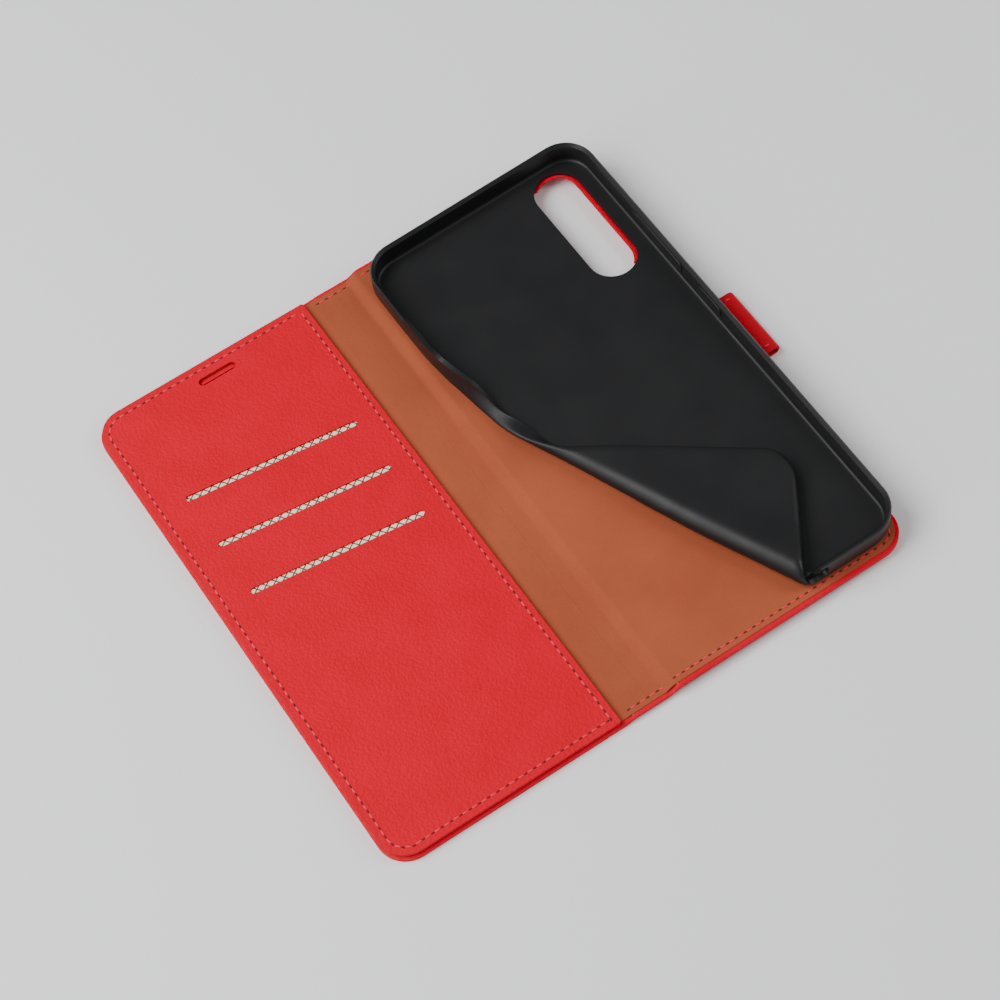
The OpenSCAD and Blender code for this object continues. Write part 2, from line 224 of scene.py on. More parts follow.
def punch(bm, holes):
    """Fills the outline of the bmesh's only face, leaving holes, each an (x0, y0, x1, y1, turn)
    with round ends, turned about its middle."""
    for x0, y0, x1, y1, turn in holes:
        before = set(bm.verts)
        ends = min(x1 - x0, y1 - y0) / 2 - 0.001
        add_face(bm, x0, y0, x1, y1, (ends,) * 4)
        middle = Vector(((x0 + x1) / 2, (y0 + y1) / 2, 0))
        bmesh.ops.rotate(bm, cent=middle, matrix=Matrix.Rotation(turn, 3, "Z"),
                         verts=[v for v in bm.verts if v not in before])
    bmesh.ops.delete(bm, geom=bm.faces[:], context="FACES_ONLY")
    bmesh.ops.triangle_fill(bm, edges=bm.edges[:], use_beauty=True)
    for face in bm.faces:
        if face.normal.z < 0:
            face.normal_flip()


def cut_lines(bm, normal, places, origin=(0, 0, 0), faces=None):
    """Cuts the faces along straight lines square to normal, at each place along it."""
    normal = Vector(normal)
    geom = list({g for f in faces or bm.faces for g in (*f.verts, *f.edges, f)})
    for place in places:
        geom = bmesh.ops.bisect_plane(bm, geom=geom, plane_co=Vector(origin) + normal * place,
                                      plane_no=normal, dist=1e-4)["geom"]


def spread(start, stop, step):
    count = max(1, round((stop - start) / step))
    return [start + (stop - start) * i / count for i in range(count + 1)]


def thicken(piece, thickness, offset, bevel=0.0, segments=2, angle=40, even=True):
    """Gives a sheet its thickness and rounds its cut edges."""
    solid = piece.modifiers.new("thickness", "SOLIDIFY")
    solid.thickness = thickness * 0.001
    solid.offset = offset
    solid.use_even_offset = even
    if bevel:
        edge = piece.modifiers.new("round", "BEVEL")
        edge.width = bevel * 0.001
        edge.segments = segments
        edge.limit_method = "ANGLE"
        edge.angle_limit = math.radians(angle)
        edge.harden_normals = True


def cover_level(x):
    """Height of the cover's outer face: the flap lies on the table, the back is lifted."""
    rise = ramp(x, -15.6, -11.8, flap_low.z, spine_low.z)
    return rise + ramp(x, -0.8, 3.0, 0, back_low.z - spine_low.z)


def cover_depth(x):
    """From the cover's outer face to the top of its turned edge."""
    full, thin = flap_high.z - flap_low.z, spine_high.z - spine_low.z
    return ramp(x, -15.6, -12.6, full, thin) + ramp(x, -0.2, 3.0, 0, full - thin)


def rim_of(bm):
    """Turns up the outline of a cover half: a wall, and a flange that points inward and lies
    just above the board's edge. Heights are shares of the cover's depth."""
    steps = ((0, 0), (0.45, 0), (0.9, 0), (1.03, 0.6), (1.03, turned_in - 0.6))
    for (height, _), (top, inset) in zip(steps, steps[1:]):
        edges = [e for e in bm.edges if e.is_boundary
                 and all(abs(v.co.z - height) < 1e-4 for v in e.verts)
                 and not all(abs(v.co.x - spine_middle) < 1e-3 for v in e.verts)
                 and not inside_hole(e)]
        made = bmesh.ops.extrude_edge_only(bm, edges=edges)["geom"]
        for vert in (g for g in made if isinstance(g, bmesh.types.BMVert)):
            vert.co.z += top - height
            if inset:
                vert.co.xy = shrink(vert.co, inset)


def inside_hole(edge):
    """True for an edge of the ear slot or the camera window, far from the cover's outline."""
    middle = (edge.verts[0].co + edge.verts[1].co) / 2
    return min(abs(middle.y - flap_low.y), abs(middle.y - flap_high.y),
               abs(middle.x - flap_low.x), abs(middle.x - back_high.x)) > cover_radius


def shrink(place, inset):
    """Moves a point of the cover's outline inward by inset, square to the outline."""
    side = 1 if spine_middle < place.x else -1
    edge_x = back_high.x if side > 0 else flap_low.x
    centre = Vector((edge_x - side * cover_radius,
                     math.copysign(flap_high.y - cover_radius, place.y)))
    if (place.x - centre.x) * side > 0 and abs(place.y) > abs(centre.y):
        away = Vector((place.x, place.y)) - centre
        return centre + away.normalized() * (away.length - inset)
    if abs(place.y) > abs(centre.y):
        return Vector((place.x, place.y - math.copysign(inset, place.y)))
    return Vector((place.x - side * inset, place.y))


ear_hole = (-56.65, 77.7, -44.15, 80.3, 0)
camera_hole = (60.2, 34.9, 76.2, 79.9)
front_cuts = spread(-17, -11, 0.4)                  # lines that let the front fold bend


def cover_half(name, x0, x1, rounds, holes, cuts):
    """One half of the cover from x0 to x1, with its holes, cut along lines where it bends."""
    bm = bmesh.new()
    add_face(bm, x0, flap_low.y, x1, flap_high.y, rounds)
    punch(bm, holes)
    cut_lines(bm, (1, 0, 0), cuts)
    rim_of(bm)
    for vert in bm.verts:
        vert.co.z = cover_level(vert.co.x) + vert.co.z * cover_depth(vert.co.x)
    bmesh.ops.recalc_face_normals(bm, faces=bm.faces)
    lowest = min(bm.faces, key=lambda f: f.calc_center_median().z)
    if lowest.normal.z > 0:
        bmesh.ops.reverse_faces(bm, faces=bm.faces)
    half = show_faces(bm, name, red_leather)
    thicken(half, skin, -1, 0.3, 3)
    return half


front_leather = cover_half("cover_leather_front", flap_low.x, spine_middle,
                           (cover_radius, 0, 0, cover_radius), [ear_hole], front_cuts)
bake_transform(front_leather)
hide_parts("cover_front", "cover_fold_front", "cover_spine")

back_leather = cover_half("cover_leather_back", spine_middle, back_high.x,
                          (0, cover_radius, cover_radius, 0), [(*camera_hole, 0)],
                          spread(-2, 4, 0.4))
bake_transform(back_leather)
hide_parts("cover_back", "cover_fold_back")

# ---- Suede lining ----
# A thin tan microfibre cloth is glued over the boards and across the soft spine, a little
# inside the cover's edge. Like the cover it bends at both folds, so it is two pieces too.

lining_inset = 1.2
lining_thick = 0.3


def suede(name, light, dark):
    """Short-napped cloth: brushed patches in two shades, with fine fibres as bump."""
    material, tree, shader = new_material(name, light, 0.92)
    place = add_node(tree, "ShaderNodeTexCoord").outputs["Object"]
    brushed = add_node(tree, "ShaderNodeTexNoise", {"Vector": place, "Scale": 28.0, "Detail": 5.0,
                                                    "Roughness": 0.6})
    nap = add_node(tree, "ShaderNodeTexNoise", {"Vector": place, "Scale": 2200.0, "Detail": 4.0})
    both = add_node(tree, "ShaderNodeMath", {0: nap.outputs["Fac"], 1: 0.5,
                                             2: brushed.outputs["Fac"]}, operation="MULTIPLY_ADD")
    shade = add_node(tree, "ShaderNodeMapRange", {"Value": both.outputs[0], "From Min": 0.45,
                                                  "From Max": 1.0})
    colour = add_node(tree, "ShaderNodeMix", {"Factor": shade.outputs[0], 6: (*dark, 1),
                                              7: (*light, 1)}, data_type="RGBA")
    bump = add_node(tree, "ShaderNodeBump", {"Strength": 0.25, "Distance": 0.0001,
                                             "Height": nap.outputs["Fac"]})
    tree.links.new(colour.outputs[2], shader.inputs["Base Color"])
    tree.links.new(bump.outputs["Normal"], shader.inputs["Normal"])
    shader.inputs["Specular IOR Level"].default_value = 0.15
    return material


tan_suede = suede("tan_suede", (0.38, 0.090, 0.038), (0.29, 0.066, 0.027))


def lining_level(x):
    """Underside of the lining, in one soft curve across both folds."""
    strip_high, board_high = (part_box(node)[1].z * MM for node in ("spine_strip", "board_back"))
    rise = ramp(x, -15.4, -12.9, flap_high.z, strip_high)
    return rise + ramp(x, -1.9, 2.1, 0, board_high - strip_high)


def lining_half(name, x0, x1, rounds, holes, cuts):
    """One half of the lining from x0 to x1, made like the cover's half."""
    bm = bmesh.new()
    edge = flap_high.y - lining_inset
    add_face(bm, x0, -edge, x1, edge, rounds)
    punch(bm, holes)
    cut_lines(bm, (1, 0, 0), cuts)
    for vert in bm.verts:
        vert.co.z = lining_level(vert.co.x)
    half = show_faces(bm, name, tan_suede)
    thicken(half, lining_thick, 1, 0.04, 1)
    return half


lining_round = cover_radius - lining_inset
front_lining = lining_half("lining_suede_front", flap_low.x + lining_inset, spine_middle,
                           (lining_round, 0, 0, lining_round), [ear_hole], front_cuts)
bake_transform(front_lining)
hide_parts("lining_front", "lining_fold_front", "lining_spine")

back_lining = lining_half("lining_suede_back", spine_middle, back_high.x - lining_inset,
                          (0, lining_round, lining_round, 0), [(*camera_hole, 0)],
                          spread(-2.4, 4.4, 0.4))
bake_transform(back_lining)
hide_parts("lining_back", "lining_fold_back")

# ---- Boards and inner parts ----
# Grey chipboard stiffens the flap and the back, and a softer strip lies in the spine. Steel-
# cased magnets sit in the flap's board, and a patch of adhesive film holds the tray.


def chipboard(name, light, dark):
    """Pressed fibre: two near shades in fine flecks, with the flecks as bump."""
    material, tree, shader = new_material(name, light, 0.9)
    place = add_node(tree, "ShaderNodeTexCoord").outputs["Object"]
    fibres = add_node(tree, "ShaderNodeTexNoise", {"Vector": place, "Scale": 900.0, "Detail": 6.0})
    colour = add_node(tree, "ShaderNodeMix", {"Factor": fibres.outputs["Fac"], 6: (*dark, 1),
                                              7: (*light, 1)}, data_type="RGBA")
    bump = add_node(tree, "ShaderNodeBump", {"Strength": 0.2, "Distance": 0.0001,
                                             "Height": fibres.outputs["Fac"]})
    tree.links.new(colour.outputs[2], shader.inputs["Base Color"])
    tree.links.new(bump.outputs["Normal"], shader.inputs["Normal"])
    return material


def give(material, *nodes):
    """Puts the material on solids that come from the frame as they are."""
    for node in nodes:
        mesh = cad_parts[node].data
        mesh.materials.clear()
        mesh.materials.append(material)


give(chipboard("grey_board", (0.30, 0.27, 0.23), (0.22, 0.20, 0.17)),
     "board_front", "board_back", "spine_strip")
give(chipboard("adhesive_film", (0.62, 0.60, 0.52), (0.55, 0.53, 0.46)), "tray_glue")

plated, tree, shader = new_material("nickel_plate", (0.60, 0.61, 0.62), 0.3)
shader.inputs["Metallic"].default_value = 1
place = add_node(tree, "ShaderNodeTexCoord").outputs["Object"]
tumbled = add_node(tree, "ShaderNodeTexNoise", {"Vector": place, "Scale": 1500.0, "Detail": 3.0})
gloss = add_node(tree, "ShaderNodeMapRange", {"Value": tumbled.outputs["Fac"], "To Min": 0.22,
                                              "To Max": 0.42})
tree.links.new(gloss.outputs[0], shader.inputs["Roughness"])
give(plated, "catch_magnets", "strap_magnets")

# ---- Card pockets ----
# Three cloth pouches hang one over the other behind the slots, each glued along its slot's
# lip, where its mouth swells up into the slot. Their cream cloth has a woven diamond check.

panel_low, panel_high = (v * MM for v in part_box("card_panel"))
slot_x, slot_turn, slot_long, slot_wide = -52.4, math.radians(-7.4), 55.2, 1.9
slot_ys = (5.7, 24.4, 43.1)
mouth_above = 3.2               # how far the cloth reaches past its slot's middle
swell_reach = 2.2               # how far from the slot's middle the cloth is swollen

check_cloth, tree, shader = new_material("check_cloth", (0.85, 0.80, 0.68), 0.9)
place = add_node(tree, "ShaderNodeTexCoord").outputs["Object"]
turned = add_node(tree, "ShaderNodeMapping",
                  {"Vector": place, "Rotation": (0, 0, -slot_turn + 0.035),
                   "Scale": (1 / 0.0029, 1 / 0.0027, 1)})
axes = add_node(tree, "ShaderNodeSeparateXYZ", {0: turned.outputs[0]})
lines = []
for way in ("ADD", "SUBTRACT"):
    lean = add_node(tree, "ShaderNodeMath", {0: axes.outputs[0], 1: axes.outputs[1]},
                    operation=way)
    fold = add_node(tree, "ShaderNodeMath", {0: lean.outputs[0], 1: 0.5}, operation="PINGPONG")
    lines.append(add_node(tree, "ShaderNodeMapRange", {"Value": fold.outputs[0], "From Min": 0.07,
                                                       "From Max": 0.14, "To Min": 1.0,
                                                       "To Max": 0.0}))
dark_yarn = add_node(tree, "ShaderNodeMath", {0: lines[0].outputs[0], 1: lines[1].outputs[0]},
                     operation="MAXIMUM")
weave = add_node(tree, "ShaderNodeTexNoise", {"Vector": place, "Scale": 3000.0, "Detail": 2.0})
check = add_node(tree, "ShaderNodeMix", {"Factor": dark_yarn.outputs[0], 6: (0.90, 0.78, 0.58, 1),
                                         7: (0.075, 0.06, 0.03, 1)}, data_type="RGBA")
bump = add_node(tree, "ShaderNodeBump", {"Strength": 0.4, "Distance": 0.0001,
                                         "Height": weave.outputs["Fac"]})
tree.links.new(check.outputs[2], shader.inputs["Base Color"])
tree.links.new(bump.outputs["Normal"], shader.inputs["Normal"])


def pouch(name, node, slot_y, swell):
    """A pouch cut square, with its top along the slanted slot, swollen where the slot shows it."""
    low, high = (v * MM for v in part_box(node))
    bm = bmesh.new()
    add_face(bm, low.x, low.y, high.x, high.y - 8.2, (3, 3, 0, 0), 4)
    cut_lines(bm, (1, 0, 0), spread(low.x, high.x, 4)[1:-1])
    across = Vector((-math.sin(slot_turn), math.cos(slot_turn), 0))
    for vert in bm.verts:
        if vert.co.y > low.y + 10:
            vert.co.y = slot_y + mouth_above + (vert.co.x - slot_x) * math.tan(slot_turn)
    cut_lines(bm, across, (-swell_reach, -1.5, -0.8, 0, 0.8, 1.5, swell_reach),
              (slot_x, slot_y, 0))
    for vert in bm.verts:
        off = abs((vert.co - Vector((slot_x, slot_y, 0))).dot(across))
        vert.co.z = low.z + 0.02 + swell * smooth((swell_reach - off) / 1.6)
    made = show_faces(bm, name, check_cloth)
    thicken(made, 0.12, 1)
    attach(made, "front_flap")
    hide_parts(node)


for label, slot_y, swell in zip(("low", "middle", "top"), slot_ys, (0.25, 0.4, 0.5)):
    pouch(f"pouch_{label}", f"card_pocket_{label}", slot_y, swell)

backing_low, backing_high = (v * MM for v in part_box("pocket_backing"))
bm = bmesh.new()
add_face(bm, backing_low.x, backing_low.y, backing_high.x, backing_high.y, (2, 2, 2, 2), 4)
bmesh.ops.translate(bm, vec=(0, 0, backing_low.z), verts=bm.verts)
backing = show_faces(bm, "pouch_backing", check_cloth)
thicken(backing, 0.05, 1)
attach(backing, "front_flap")
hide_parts("pocket_backing")

# ---- Card panel ----
# A panel of the same red leather covers the flap. Its edges are turned under and sewn down on
# three sides, and the side by the spine is left open as a pocket for notes. The slots and the
# ear slot are die-cut.

panel_round = cover_radius - 0.6
panel_skin = 0.7                # thickness of the panel's leather
panel_side = 1.15               # height of its turned edge below the top face
outline_band = 4.5              # edges nearer than this to the panel's sides are its outline

bm = bmesh.new()
add_face(bm, panel_low.x, panel_low.y, panel_high.x, panel_high.y,
         (panel_round, 0.8, 0.8, panel_round))
punch(bm, [(slot_x - slot_long / 2, y - slot_wide / 2, slot_x + slot_long / 2, y + slot_wide / 2,
            slot_turn) for y in slot_ys] + [ear_hole])
cut_lines(bm, (1, 0, 0), spread(panel_low.x, panel_high.x, 5)[1:-1])
cut_lines(bm, (0, 1, 0), spread(panel_low.y, panel_high.y, 5)[1:-1])


def near_outline(edge):
    middle = (edge.verts[0].co + edge.verts[1].co) / 2
    return min(middle.x - panel_low.x, panel_high.x - middle.x, middle.y - panel_low.y,
               panel_high.y - middle.y) < outline_band


outline = [e for e in bm.edges if e.is_boundary and near_outline(e)]
made = bmesh.ops.extrude_edge_only(bm, edges=outline)["geom"]
for vert in (g for g in made if isinstance(g, bmesh.types.BMVert)):
    vert.co.z -= panel_side
for vert in bm.verts:
    vert.co.z += panel_high.z
bmesh.ops.recalc_face_normals(bm, faces=bm.faces)
if sum(f.normal.z * f.calc_area() for f in bm.faces) < 0:
    bmesh.ops.reverse_faces(bm, faces=bm.faces)
panel = show_faces(bm, "card_panel_leather", red_leather)
thicken(panel, panel_skin, -1, 0.35, 4)
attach(panel, "front_flap")
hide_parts("card_panel")

# ---- Seams ----
# Waxed thread in short stitches runs a little inside the cover's edges, along the panel's open
# side and along the strap's sides. Each stitch dips into a needle hole at both ends; each hole is
# a flat dark oval, painted shade in place of the hole's depth.

panel_thread, tree, shader = new_material("panel_thread", (0.80, 0.012, 0.040), 0.6)
place = add_node(tree, "ShaderNodeTexCoord").outputs["Object"]
strands = add_node(tree, "ShaderNodeTexNoise", {"Vector": place, "Scale": 5000.0, "Detail": 1.0})
bump = add_node(tree, "ShaderNodeBump", {"Strength": 0.4, "Distance": 0.0001,
                                         "Height": strands.outputs["Fac"]})
tree.links.new(bump.outputs["Normal"], shader.inputs["Normal"])

# Painted shade: each needle hole is a flat dark-red oval lying on the leather, its colour standing
# in for the shade inside the hole; the noise only varies how dark it is.
needle_hole_shade, tree, shader = new_material("needle_hole_shade", (0.10, 0.004, 0.006), 0.8)
place = add_node(tree, "ShaderNodeTexCoord").outputs["Object"]
depth = add_node(tree, "ShaderNodeTexNoise", {"Vector": place, "Scale": 900.0})
colour = add_node(tree, "ShaderNodeMix",
                  {"Factor": depth.outputs["Fac"], 6: (0.14, 0.002, 0.006, 1),
                   7: (0.05, 0.002, 0.003, 1)}, data_type="RGBA")
tree.links.new(colour.outputs[2], shader.inputs["Base Color"])

seam_inset = 2.9
seam_pitch = 3.0
stitch_size = (1.0, 0.30, 0.16)         # half length, half width and height over the leather
# Half length, half width and height of the flat dark oval of painted shade at each needle hole
needle_size = (0.62, 0.27, 0.05)
panel_top, spine_top = panel_high.z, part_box("lining_spine")[1].z * MM
back_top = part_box("lining_back")[1].z * MM


def rounded_path(points, radius):
    """The path through points, with an arc of the radius at each right-angled corner."""
    points = [Vector(p) for p in points]
    path = [points[0]]
    for before, corner, after in zip(points, points[1:], points[2:]):
        back, on = (before - corner).normalized(), (after - corner).normalized()
        for i in range(13):
            turn = math.pi / 2 * i / 12
            path.append(corner + (back + on - on * math.cos(turn) - back * math.sin(turn)) * radius)
    return path + [points[-1]]


def evenly_along(path, pitch):
    """Middles and directions of as many equal steps of about pitch as fit along the path."""
    total = sum((b - a).length for a, b in zip(path, path[1:]))
    count = max(1, round(total / pitch))
    for i in range(count):
        run = total * (i + 0.5) / count
        for a, b in zip(path, path[1:]):
            if run <= (b - a).length:
                break
            run -= (b - a).length
        yield a + (b - a).normalized() * run, (b - a).normalized(), total / count


def seam(name, body, node, paths, z):
    """Stitches along the paths at height z, with a needle hole, drawn as a flat oval of painted
    shade, at the start of each.
    """
    bm = bmesh.new()
    for path in paths:
        for middle, way, step in evenly_along(path, seam_pitch):
            turn = Matrix.Rotation(math.atan2(way.y, way.x), 4, "Z")
            here = Matrix.Translation((middle.x, middle.y, z + 0.03)) @ turn
            bmesh.ops.create_uvsphere(bm, u_segments=8, v_segments=6, radius=1,
                                      matrix=here @ Matrix.Diagonal((*stitch_size, 1)))
            # The needle hole: a flat oval in the second material, dark red painted shade standing
            # in for the hole
            old = set(bm.faces)
            gap = here @ Matrix.Translation((-step / 2, 0, -0.01))
            bmesh.ops.create_uvsphere(bm, u_segments=8, v_segments=4, radius=1,
                                      matrix=gap @ Matrix.Diagonal((*needle_size, 1)))
            for face in bm.faces:
                if face not in old:
                    face.material_index = 1
    made = show_faces(bm, name, panel_thread)
    made.data.materials.append(needle_hole_shade)
    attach(made, body)
    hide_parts(node)


seam_y, seam_round = flap_high.y - seam_inset, cover_radius - seam_inset
front_x, back_x = flap_low.x + seam_inset, back_high.x - seam_inset
front_end = panel_high.x - 3
hem_x = panel_high.x - 2
back_start = 2.7
seam("seam_front", "front_flap", "stitch_front",
     [rounded_path([(front_end, -seam_y), (front_x, -seam_y), (front_x, seam_y),
                    (front_end, seam_y)], seam_round)], panel_top)
seam("seam_hem", "front_flap", "stitch_hem",
     [rounded_path([(hem_x, -seam_y), (hem_x, seam_y)], 0)], panel_top)
seam("seam_back", "back_panel", "stitch_back",
     [rounded_path([(back_start, -seam_y), (back_x, -seam_y), (back_x, seam_y),
                    (back_start, seam_y)], seam_round)], back_top)
seam("seam_spine", "spine", "stitch_spine",
     [rounded_path([(spine_low.x, y), (spine_high.x, y)], 0) for y in (-seam_y, seam_y)], spine_top)

# ---- Phone tray ----
# One moulding of soft black rubber: a floor with the camera window, and a low wall with a lip
# that leans in. Its lower left corner is rolled over and lies upside down on the floor, so the
# mesh is drawn as moulded, told which part turns, and then folded.

tray_round = 10.5
fillet = 2.3
lip_lean = 0.5
tray_wall = 1.35
wall_levels = (7.5, 8.5, 9.5, 10.7, 11.6, 12.6)
port_low, port_high = 34.3, 55.3        # the charging port's opening, along X
mic_low, mic_high = 49.9, 52.3          # the microphone's slot, along X
roll_reach = 21                         # how far on the flat side of the crease it bends
crease_at, crease_turn = Vector((2.3, 16.1)), math.radians(23.96)
across = Vector((math.cos(crease_turn), math.sin(crease_turn)))
along = Vector((-across.y, across.x))

rubber, tree, shader = new_material("black_rubber", (0.0105, 0.0105, 0.011), 0.42)
shader.inputs["Specular IOR Level"].default_value = 0.27
place = add_node(tree, "ShaderNodeTexCoord").outputs["Object"]
matt = add_node(tree, "ShaderNodeTexNoise", {"Vector": place, "Scale": 60.0, "Detail": 3.0})
gloss = add_node(tree, "ShaderNodeMapRange", {"Value": matt.outputs["Fac"], "From Min": 0.3,
                                              "From Max": 0.7, "To Min": 0.38, "To Max": 0.5})
pores = add_node(tree, "ShaderNodeTexNoise", {"Vector": place, "Scale": 3500.0, "Detail": 2.0})
bump = add_node(tree, "ShaderNodeBump", {"Strength": 0.08, "Distance": 0.0001,
                                         "Height": pores.outputs["Fac"]})
tree.links.new(gloss.outputs[0], shader.inputs["Roughness"])
tree.links.new(bump.outputs["Normal"], shader.inputs["Normal"])


def from_core(place):
    """The nearest point of the rectangle through the middles of the tray's corner rounds, and
    the way from it to the place."""
    core = Vector((min(max(place.x, tray_low.x + tray_round), tray_high.x - tray_round),
                   min(max(place.y, tray_low.y + tray_round), tray_high.y - tray_round)))
    return core, Vector((place.x, place.y)) - core


def wall_opening(bm, x0, x1, z0, z1, wall_y, chamfer):
    """Cuts an opening between existing rings of the wall, with its corners cut off."""
    wall = [f for f in bm.faces if abs(f.calc_center_median().y - wall_y) < 0.2]
    cut_lines(bm, (1, 0, 0), (x0, x0 + chamfer, x1 - chamfer, x1), faces=wall)
    wall = [f for f in bm.faces if abs(f.calc_center_median().y - wall_y) < 0.2]
    hole = []
    for face in wall:
        middle = face.calc_center_median()
        if x0 < middle.x < x1 and z0 < middle.z < z1:
            hole.append(face)
            near_x, near_z = min(middle.x - x0, x1 - middle.x), min(middle.z - z0, z1 - middle.z)
            if near_x < chamfer and near_z < chamfer:
                inner = max(face.verts, key=lambda v: min(v.co.x - x0, x1 - v.co.x) +
                            min(v.co.z - z0, z1 - v.co.z))
                bm.faces.new([v for v in face.verts if v != inner])
    bmesh.ops.delete(bm, geom=hole, context="FACES")


bm = bmesh.new()
add_face(bm, tray_low.x + fillet, tray_low.y + fillet, tray_high.x - fillet, tray_high.y - fillet,
         (tray_round - fillet,) * 4)
x0, y0, x1, y1 = camera_hole
punch(bm, [(x0 + 0.2, y0 + 0.2, x1 - 0.2, y1 - 0.2, 0)])
for vert in bm.verts:
    vert.co.z = tray_low.z
edges = [e for e in bm.edges if e.is_boundary and
         all(from_core(v.co)[1].length > tray_round - fillet - 0.1 for v in e.verts)]
profile = [(fillet * math.sin(a), tray_low.z + fillet * (1 - math.cos(a)))
           for a in (math.pi / 8 * i for i in (1, 2, 3, 4))]
profile += [(fillet, z) for z in wall_levels] + [(fillet - lip_lean, tray_high.z)]
for out, z in profile:
    made = bmesh.ops.extrude_edge_only(bm, edges=edges)["geom"]
    ring = {g for g in made if isinstance(g, bmesh.types.BMVert)}
    edges = [g for g in made if isinstance(g, bmesh.types.BMEdge) and ring.issuperset(g.verts)]
    for vert in ring:
        core, away = from_core(vert.co)
        vert.co.xy = core + away.normalized() * (tray_round - fillet + out)
        vert.co.z = z
wall_opening(bm, port_low, port_high, tray_low.z + fillet, wall_levels[4], tray_low.y, 0.9)
wall_opening(bm, mic_low, mic_high, wall_levels[1], wall_levels[2], tray_high.y, 0)
cut_lines(bm, (*across, 0), spread(-40, -8, 2.5)[:-1] + spread(-8, roll_reach, 1),
          (*crease_at, 0))
turning = [f for f in bm.faces
           if (Vector(f.calc_center_median().xy) - crease_at).dot(across) < roll_reach]
cut_lines(bm, (*along, 0), spread(-108, 44, 2), (*crease_at, 0), turning)
bmesh.ops.recalc_face_normals(bm, faces=bm.faces)
if min(bm.faces, key=lambda f: f.calc_center_median().z).normal.z > 0:
    bmesh.ops.reverse_faces(bm, faces=bm.faces)
tray = show_faces(bm, "phone_tray_rubber", rubber)
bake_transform(tray)

# How the corner is rolled: places along the crease, and there the middle of the roll, its
# radius, and how far the wall is pushed in
roll = ((-107, 5.2, 4.0, 0), (-73, 4.35, 3.9, 0), (-50, 4.8, 3.5, 0), (-33, 5.05, 3.0, 0),
        (-22, 5.0, 2.8, 0), (-15, 4.3, 3.0, 0.5), (-9, 3.8, 3.2, 1.4), (-3, 3.7, 3.6, 2.6),
        (0, 3.9, 3.6, 3.1), (6, 4.2, 3.6, 2.7), (12, 6.3, 3.6, 1.8), (19, 8.95, 3.6, 0.7),
        (25, 11.3, 3.6, 0.3), (32, 14.3, 3.6, 0.1), (40, 17.8, 3.6, 0))
roll_end = 5.8                  # how far past the crease the roll ends
flap_shift = 5.3                # how far the turned corner is pushed on over the flat floor
flap_top = 11.0                 # height of the turned floor's upper face
flap_gather = 0.918             # share of its width that the turned corner keeps
wall_splay = 0.12               # lean of the turned wall, outward per height
rim_pull = 2                    # how far the rim beside the roll is drawn along by it


def roll_at(y):
    """Middle, radius and push of the roll at a place along the crease, smoothly between rows."""
    def straight(y):
        for (y0, *before), (y1, *after) in zip(roll, roll[1:]):
            if y < y1:
                break
        return Vector(before).lerp(Vector(after), min(1, max(0, (y - y0) / (y1 - y0))))
    return sum((straight(y + d) for d in (-4, -2, 0, 2, 4)), Vector((0, 0, 0))) / 5


def buckle(t):
    """Share of the wall's height that is left where the floor under it has turned by t."""
    if t == 0:
        return 1
    dents = 0.45 * math.exp(-((t - 0.32) / 0.2) ** 2) + 0.3 * math.exp(-((t - 0.78) / 0.15) ** 2)
    return 1 - 0.4 * smooth(t) - dents * smooth(t / 0.12)


def folded(place):
    """Where a point of the flat moulding lies once the corner is rolled over, and the share of
    the half turn that it has made."""
    there = Vector(place.xy) - crease_at
    x, y, z = there.dot(across), there.dot(along), place.z
    h, past, t, push = z - tray_low.z, max(0, -x), 0, 0
    if x < 22 and y < 45:
        v = y
        for _ in range(7):
            middle, radius, push = roll_at(y)
            t = min(1, max(0, (middle - x) / (middle + roll_end)))
            y = v + smooth(t) * (-16.7 - 0.146 * v + 0.236 * past)
        push *= 1 - smooth((x - middle) / 10)
    height = h * buckle(t)
    if 0 < t < 1:
        x = middle - (radius - height) * math.sin(math.pi * t)
        z = tray_low.z + radius - (radius - height) * math.cos(math.pi * t)
    elif t:
        over = past - roll_end
        x = middle + flap_gather * over + (flap_shift - middle) * smooth(over / 10)
        z = ramp(x - middle, 0, 12, tray_low.z + 2 * radius, flap_top) - height
    out = from_core(place)[1].normalized() * wall_splay * h * smooth((past - 4) / 10)
    at = crease_at + across * (x + push - out.dot(across)) + along * (y + out.dot(along))
    beside = (tray_high.x - at.x) / 80
    at.y -= rim_pull * (1 - smooth(t)) * smooth((at.y - 20) / 60) * beside
    return Vector((*at, z)), t


bm = bmesh.new()
bm.from_mesh(tray.data)
rolled = []
for vert in bm.verts:
    place, t = folded(vert.co * MM)
    vert.co = place / MM
    if 0 < t < 1:
        rolled.append(vert)
for _ in range(5):
    bmesh.ops.smooth_vert(bm, verts=rolled, factor=0.5, use_axis_x=True, use_axis_y=True,
                          use_axis_z=True)
bm.to_mesh(tray.data)
bm.free()
thicken(tray, tray_wall, -1, 0.2, 2, 50, even=False)
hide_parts("phone_tray", "tray_bend", "tray_corner")

# ---- Buttons ----
# Two raised keys are moulded into the tray's outer wall and give when they are pressed. Each is
# a rounded bar.

for name, node, body in (("volume_key_pad", "volume_button", "volume_key"),
                         ("power_key_pad", "power_button", "power_key")):
    low, high = (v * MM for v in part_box(node))
    bm = bmesh.new()
    bmesh.ops.create_cube(bm, size=1)
    for vert in bm.verts:
        vert.co = Vector((low[i] + (vert.co[i] + 0.5) * (high[i] - low[i]) for i in range(3)))
    ends = [e for e in bm.edges if abs(e.verts[0].co.x - e.verts[1].co.x) > 0.1]
    bmesh.ops.bevel(bm, geom=ends, offset=1.8, segments=6, profile=0.5, affect="EDGES",
                    material=-1)
    bmesh.ops.recalc_face_normals(bm, faces=bm.faces)
    key = show_faces(bm, name, rubber)
    edge = key.modifiers.new("round", "BEVEL")
    edge.width, edge.segments = 0.0003, 3
    edge.limit_method, edge.angle_limit = "ANGLE", math.radians(50)
    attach(key, body)
    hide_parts(node)

# ---- Strap ----
# A closing strap of two plies of darker red leather. Its tab is glued between the back's board
# and lining, it turns round the open side, and its tongue lies folded away under the back.

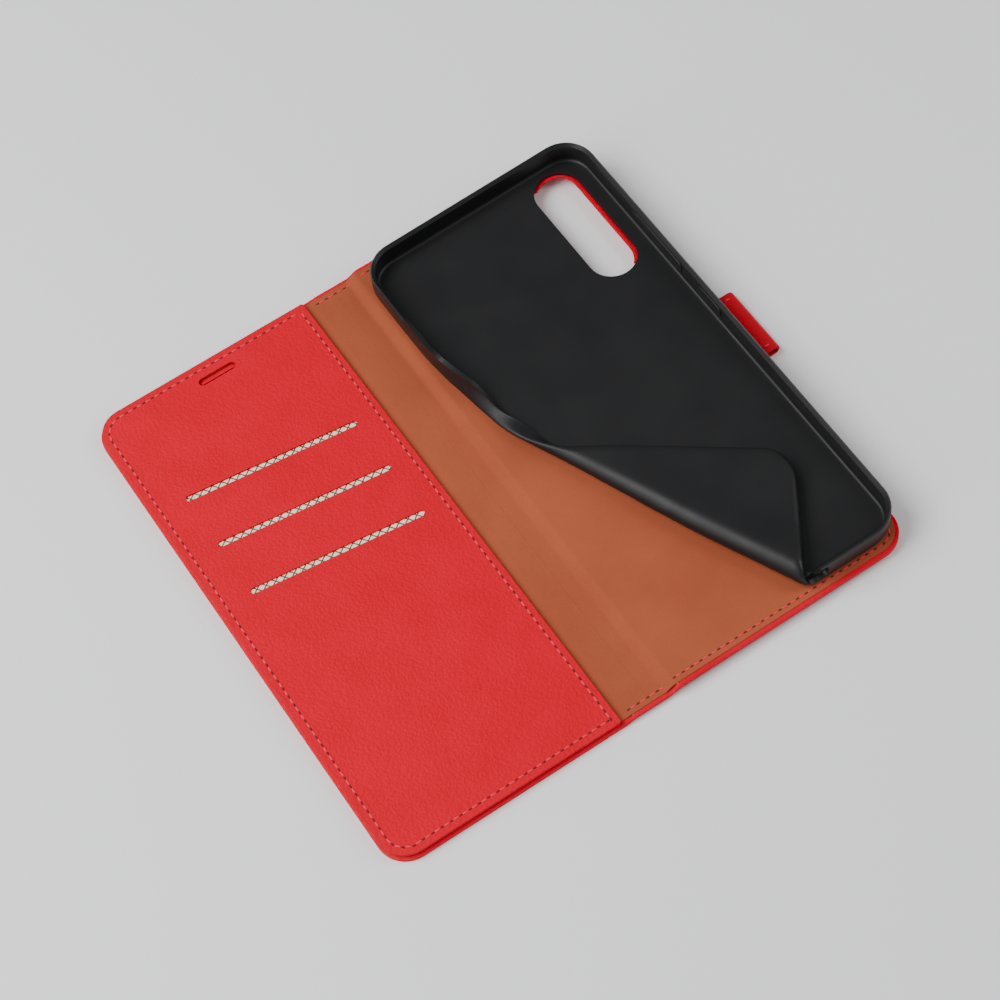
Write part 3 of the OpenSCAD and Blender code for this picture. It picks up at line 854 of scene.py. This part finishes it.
dark_leather = leather("dark_red_leather", (0.56, 0.006, 0.019), (0.49, 0.004, 0.015),
                       0.4, 0.8, 0.3)
tab_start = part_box("strap_tab_inner")[0].x * MM
bend_low, bend_high = (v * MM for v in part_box("strap_bend"))
strap_x, strap_z = 88.8, (bend_low.z + bend_high.z) / 2
strap_y = bend_high.y
strap_ply = 1.0
tongue_start = 78               # where the folded strip under the back goes over into the tongue
strap_seam = 10                 # distance of the strap's seams from its middle


def strap_strip(name, path, thickness):
    """A strip of the strap's width along a path of (x, z) points on its outer face."""
    bm = bmesh.new()
    rows = [[bm.verts.new((x, y, z)) for y in spread(-strap_y, strap_y, 3)] for x, z in path]
    for before, after in zip(rows, rows[1:]):
        for a, b, c, d in zip(before, before[1:], after[1:], after):
            bm.faces.new((a, d, c, b))
    strip = show_faces(bm, name, dark_leather)
    thicken(strip, thickness, -1, 0.25, 3)
    return strip


half_turn = [(strap_x + strap_z * math.cos(a), strap_z + strap_z * math.sin(a))
             for a in (math.pi * (0.5 - i / 16) for i in range(17))]
loop_path = [(x, bend_high.z) for x in spread(tab_start, strap_x, 2)[:-1]] + half_turn
loop_path += [(x, 0) for x in spread(strap_x, tongue_start, 2)[1:]]
loop = strap_strip("strap_loop", loop_path, strap_ply)
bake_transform(loop)
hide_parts("strap_tab_outer", "strap_tab_inner", "strap_bend")

tongue_low, tongue_high = (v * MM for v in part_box("strap_tongue_inner"))
wrap_from, wrap_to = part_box("strap_band_outer")[0].x, tongue_high.x / MM
bm = bmesh.new()
add_face(bm, tongue_low.x, -strap_y, tongue_start, strap_y, (7, 0, 0, 7))
cut_lines(bm, (1, 0, 0), spread(68, tongue_start, 0.5)[:-1])
for vert in bm.verts:
    vert.co.z = ramp(vert.co.x, wrap_to * MM - 2.5, wrap_to * MM, tongue_high.z, strap_ply)
bmesh.ops.reverse_faces(bm, faces=bm.faces)
bottom = bmesh.ops.extrude_face_region(bm, geom=bm.faces[:])["geom"]
for item in bottom:
    if isinstance(item, bmesh.types.BMVert):
        item.co.z = 0
bmesh.ops.recalc_face_normals(bm, faces=bm.faces)
tongue = show_faces(bm, "strap_tongue_leather", dark_leather)
edge = tongue.modifiers.new("round", "BEVEL")
edge.width, edge.segments = 0.00025, 3
edge.limit_method, edge.angle_limit = "ANGLE", math.radians(50)
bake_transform(tongue)
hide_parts("strap_band_outer", "strap_band_inner", "strap_tongue_outer",
            "strap_tongue_inner")

seam("seam_strap_band", "strap_band", "stitch_strap",
     [rounded_path([(72.5, y), (86.5, y)], 0) for y in (-strap_seam, strap_seam)], strap_ply)
seam("seam_strap_tab", "back_panel", "stitch_strap",
     [rounded_path([(82.8, y), (strap_x, y)], 0) for y in (-strap_seam, strap_seam)], bend_high.z)
